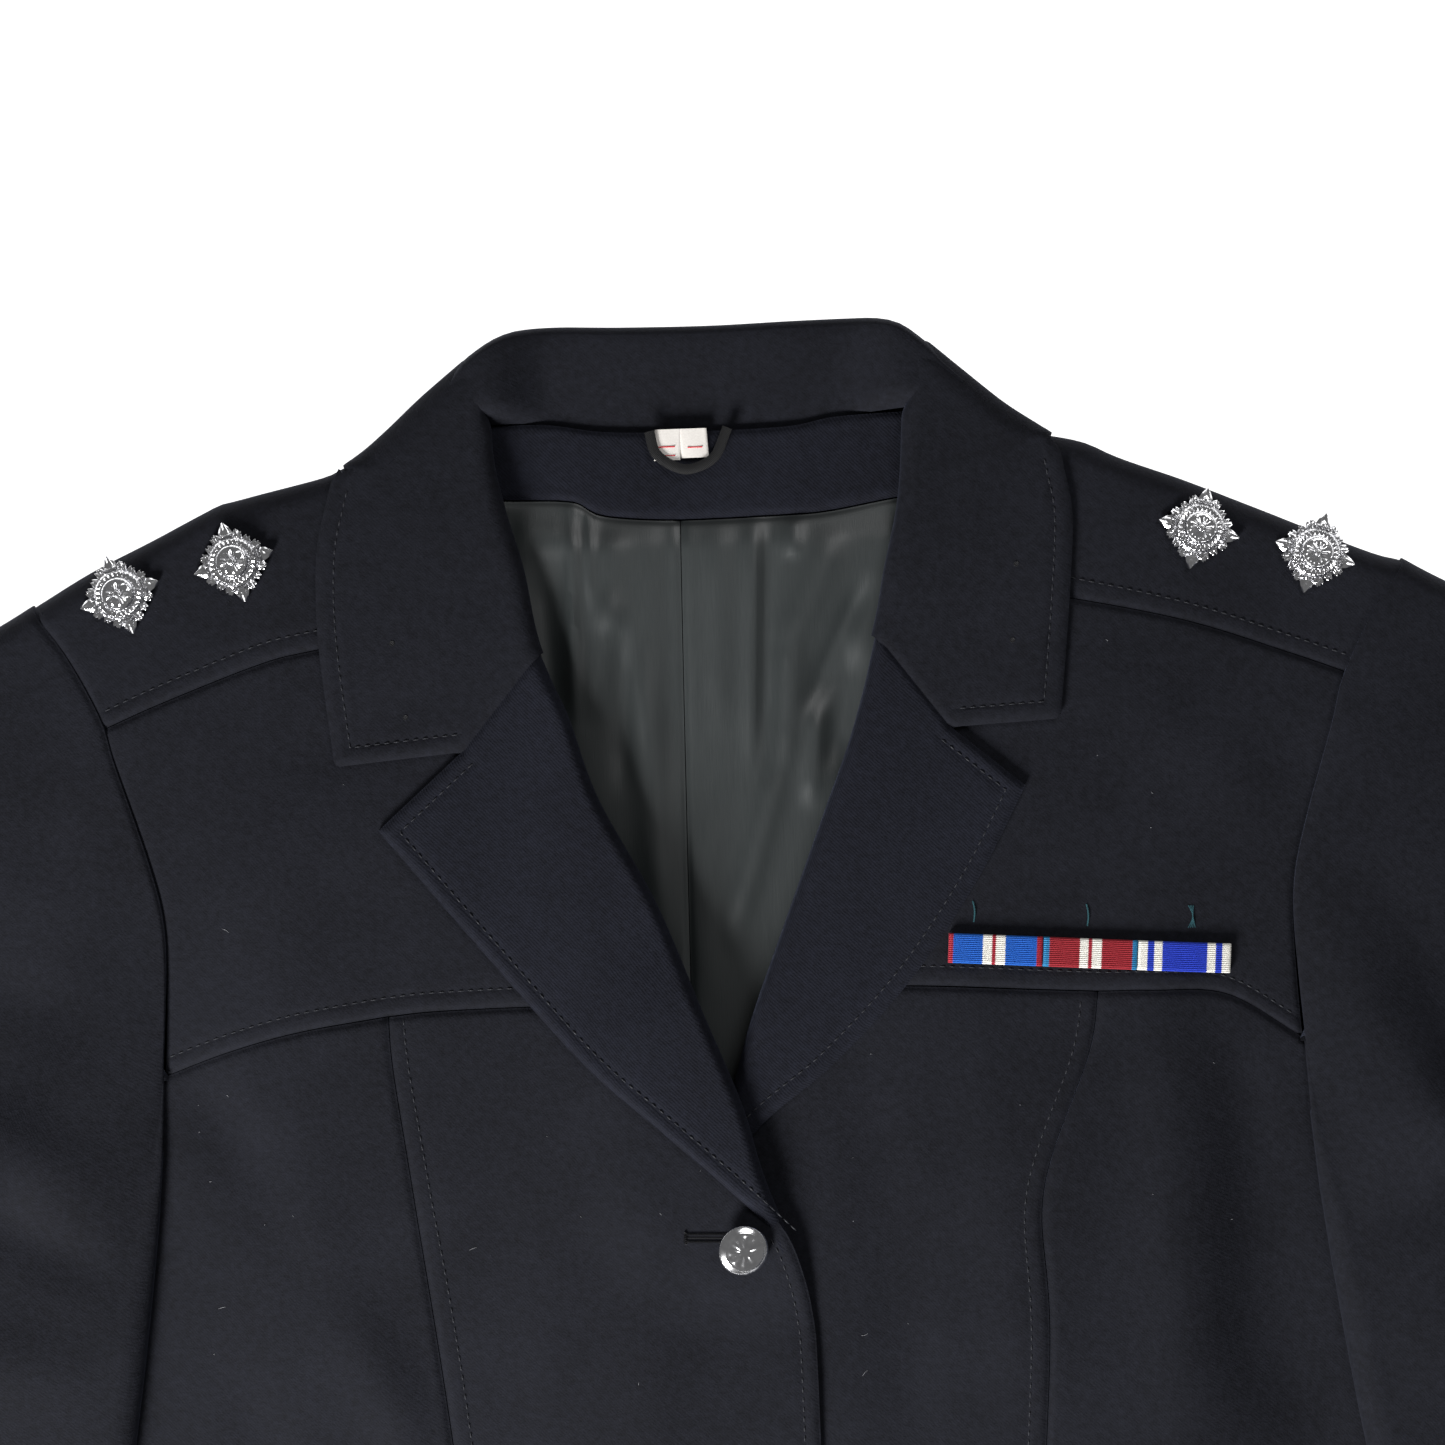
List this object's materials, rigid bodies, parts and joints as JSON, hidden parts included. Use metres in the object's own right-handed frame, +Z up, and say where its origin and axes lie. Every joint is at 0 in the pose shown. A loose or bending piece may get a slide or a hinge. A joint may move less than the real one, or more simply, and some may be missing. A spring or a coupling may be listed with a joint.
{
  "type": "police uniform tunic",
  "caption": "Dark wool single-breasted uniform tunic laid flat on its back, with notched lapels, shoulder yokes, rank stars and a medal ribbon bar.",
  "frame": {"origin": "centre of the box that holds the garment, on the surface it lies on", "axes": "+X to the wearer's left, the garment's longest extent, +Y from the hem to the collar, +Z up from the surface"},
  "size_m": [0.824, 0.7139, 0.0302],
  "materials": {
    "navy_wool": "matte",
    "satin_lining": "satin",
    "chrome": "polished",
    "white_label": "matte",
    "black_tape": "matte",
    "blue_ribbon": "satin",
    "red_ribbon": "satin"
  },
  "bodies": {
    "root": {"back": "navy_wool", "front_yoke_right": "navy_wool", "front_yoke_left": "navy_wool", "chest_right": "navy_wool", "chest_left": "navy_wool", "centre_front_right": "navy_wool", "centre_front_left": "navy_wool", "side_front_right": "navy_wool", "side_front_left": "navy_wool", "lapel_right": "navy_wool", "lapel_left": "navy_wool", "sleeve_top_right": "navy_wool", "sleeve_top_left": "navy_wool", "sleeve_under_right": "navy_wool", "sleeve_under_left": "navy_wool", "collar_fall": "navy_wool", "collar_stand": "navy_wool", "back_neck_facing": "navy_wool", "back_lining_right": "satin_lining", "back_lining_left": "satin_lining", "button_1": "chrome", "button_2": "chrome", "button_3": "chrome", "button_4": "chrome", "rank_star_right_inner": "chrome", "rank_star_right_outer": "chrome", "rank_star_left_inner": "chrome", "rank_star_left_outer": "chrome", "medal_ribbon_1": "blue_ribbon", "medal_ribbon_2": "red_ribbon", "medal_ribbon_3": "blue_ribbon", "size_label": "white_label", "fitting_label": "white_label", "hanger_loop": "black_tape"}
  },
  "joints": []
}
